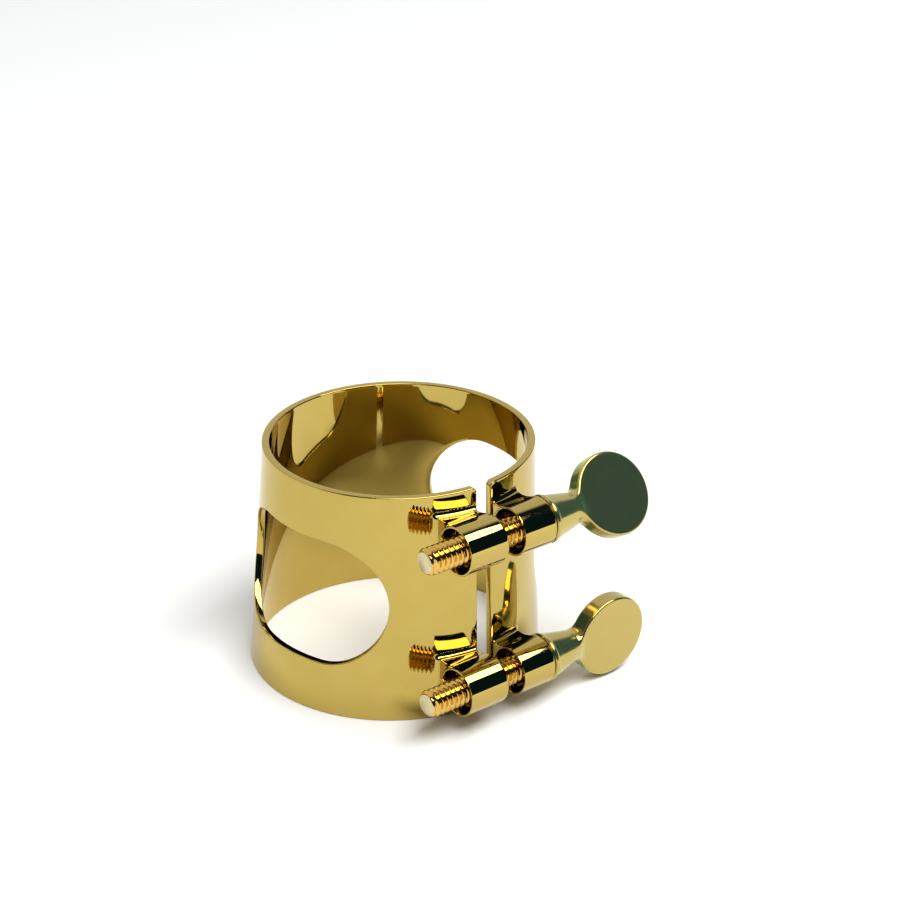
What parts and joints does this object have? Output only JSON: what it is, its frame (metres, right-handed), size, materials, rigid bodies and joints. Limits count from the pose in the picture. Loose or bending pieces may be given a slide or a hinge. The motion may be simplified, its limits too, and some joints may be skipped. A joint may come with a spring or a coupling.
{
  "type": "saxophone ligature",
  "caption": "Tapered sheet-metal sleeve with a slot and side windows, closed by thumb screws in brazed posts, that clamps a reed to a saxophone mouthpiece.",
  "frame": {"origin": "centre of the base rim, on the axis of the mouthpiece", "axes": "+Z along the mouthpiece towards its tip, -Y through the slot and the screws, +X towards the thumb paddles"},
  "size_m": [0.0289, 0.0294, 0.0208],
  "materials": {
    "band_plate": "mirror-polished gold plate on brass sheet",
    "barrel_plate": "mirror-polished gold plate on turned brass",
    "saddle_plate": "polished gold plate on drawn brass",
    "rod_brass": "bright threaded brass rod, less polished than the rest",
    "head_plate": "tumble-polished gold plate on coined brass"
  },
  "bodies": {
    "head_side_half": {"band_head_side": "band_plate", "upper_plain_barrel": "barrel_plate", "lower_plain_barrel": "barrel_plate", "upper_plain_saddle": "saddle_plate", "lower_plain_saddle": "saddle_plate"},
    "thread_side_half": {"band_thread_side": "band_plate", "upper_threaded_barrel": "barrel_plate", "lower_threaded_barrel": "barrel_plate", "upper_threaded_saddle": "saddle_plate", "lower_threaded_saddle": "saddle_plate"},
    "upper_screw": {"upper_screw_shank": "rod_brass", "upper_screw_head": "head_plate"},
    "lower_screw": {"lower_screw_shank": "rod_brass", "lower_screw_head": "head_plate"}
  },
  "joints": [
    {"name": "band_squeeze", "type": "hinge", "parent": "head_side_half", "child": "thread_side_half", "pos_m": [0, 0.01221, 0], "axis": [0, -0.0537, 0.9986], "range_deg": [-2.75, 3.2]},
    {"name": "lower_screw_turn", "type": "hinge", "parent": "head_side_half", "child": "lower_screw", "pos_m": [0, -0.0146, 0.004], "axis": [-1, 0, 0], "range_deg": [-864, 1008]},
    {"name": "upper_screw_turn", "type": "hinge", "parent": "head_side_half", "child": "upper_screw", "pos_m": [0, -0.01389, 0.0172], "axis": [-1, 0, 0], "range_deg": [-864, 1008]}
  ],
  "couplings": [
    {"joint": "band_squeeze", "follows": "lower_screw_turn", "ratio": 0.003165},
    {"joint": "upper_screw_turn", "follows": "lower_screw_turn", "ratio": 1}
  ]
}
